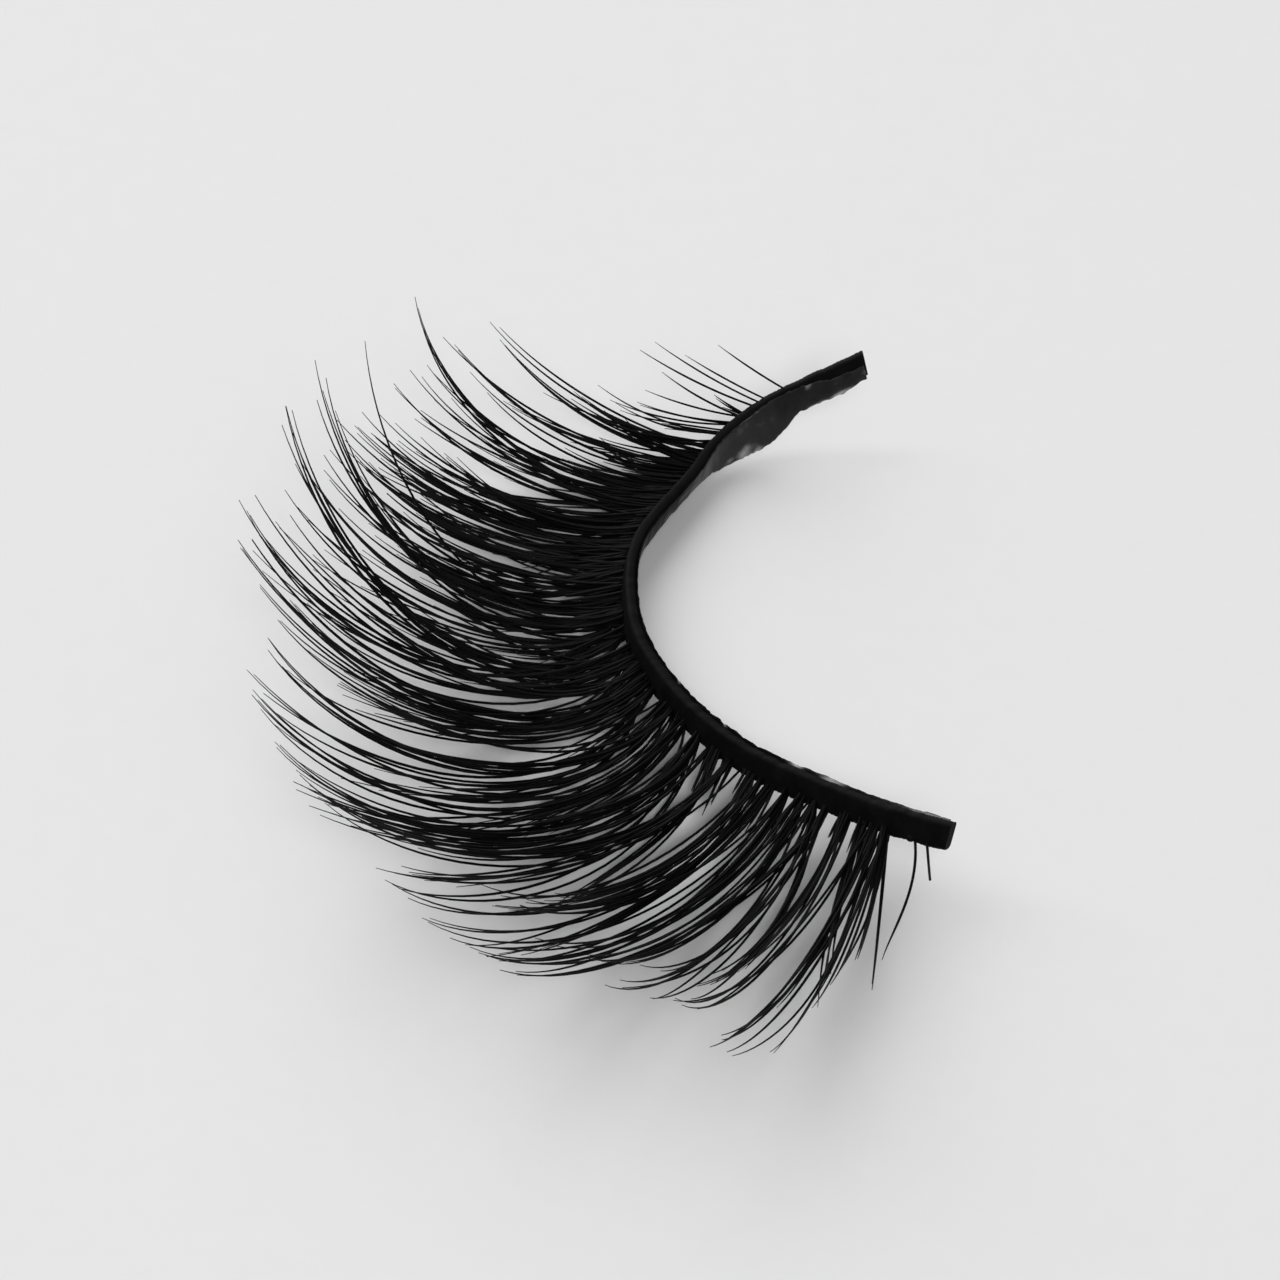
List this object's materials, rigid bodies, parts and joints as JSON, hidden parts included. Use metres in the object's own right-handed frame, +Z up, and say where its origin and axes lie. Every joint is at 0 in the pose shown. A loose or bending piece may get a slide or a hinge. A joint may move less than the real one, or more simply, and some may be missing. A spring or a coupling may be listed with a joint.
{
  "type": "false eyelash strip",
  "caption": "Curved strip of false eyelashes: a thin black thread band with curled black lash tufts along its outer edge, lying with its bellies down.",
  "frame": {"origin": "middle of the underside of the whole strip as it lies, on the surface under it", "axes": "+X along the strip towards the outer eye corner, +Y towards the open eyelid side, the lashes point to -Y, +Z up"},
  "size_m": [0.0362, 0.0222, 0.0086],
  "materials": {
    "band_thread": "black cotton thread, matt",
    "glue_film": "dried lash adhesive, dark, half clear and glossy",
    "lash_fibre": "black tapered synthetic lash fibre, soft gloss"
  },
  "bodies": {
    "root": {"band": "band_thread", "glue_film": "glue_film", "lash_cluster_01": "lash_fibre", "lash_cluster_02": "lash_fibre", "lash_cluster_03": "lash_fibre", "lash_cluster_04": "lash_fibre", "lash_cluster_05": "lash_fibre", "lash_cluster_06": "lash_fibre", "lash_cluster_07": "lash_fibre", "lash_cluster_08": "lash_fibre", "lash_cluster_09": "lash_fibre", "lash_cluster_10": "lash_fibre", "lash_cluster_11": "lash_fibre", "lash_cluster_12": "lash_fibre", "lash_cluster_13": "lash_fibre", "lash_cluster_14": "lash_fibre", "lash_cluster_15": "lash_fibre", "lash_cluster_16": "lash_fibre", "lash_cluster_17": "lash_fibre", "lash_cluster_18": "lash_fibre", "lash_cluster_19": "lash_fibre", "lash_cluster_20": "lash_fibre", "lash_cluster_21": "lash_fibre", "lash_cluster_22": "lash_fibre", "lash_cluster_23": "lash_fibre", "lash_cluster_24": "lash_fibre"}
  },
  "joints": []
}
